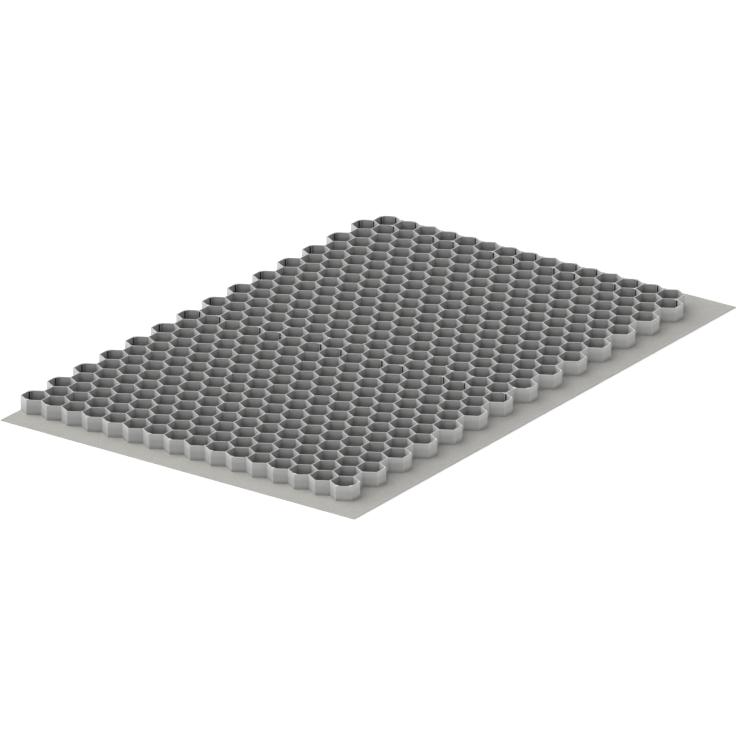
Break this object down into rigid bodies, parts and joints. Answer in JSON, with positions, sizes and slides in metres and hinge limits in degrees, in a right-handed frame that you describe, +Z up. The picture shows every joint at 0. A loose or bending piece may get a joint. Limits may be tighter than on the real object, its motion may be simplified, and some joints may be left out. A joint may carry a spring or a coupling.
{
  "type": "gravel grid",
  "caption": "Rectangular honeycomb gravel stabiliser panel: open hexagonal plastic cells bonded to a geotextile sheet that overlaps on three sides.",
  "frame": {"origin": "centre of the geotextile sheet's underside", "axes": "+X across the panel, along the rows of cells, towards the side with the sheet's overlap; +Y along the panel, from the lug edge to the socket edge; +Z up, out of the open cells"},
  "size_m": [0.8216, 1.2816, 0.032],
  "materials": {
    "grid_plastic": "matte, as moulded",
    "geotextile": "thermally bonded non-woven"
  },
  "bodies": {
    "root": {"front_section": "grid_plastic", "rear_section": "grid_plastic", "geotextile_sheet": "geotextile"}
  },
  "joints": []
}
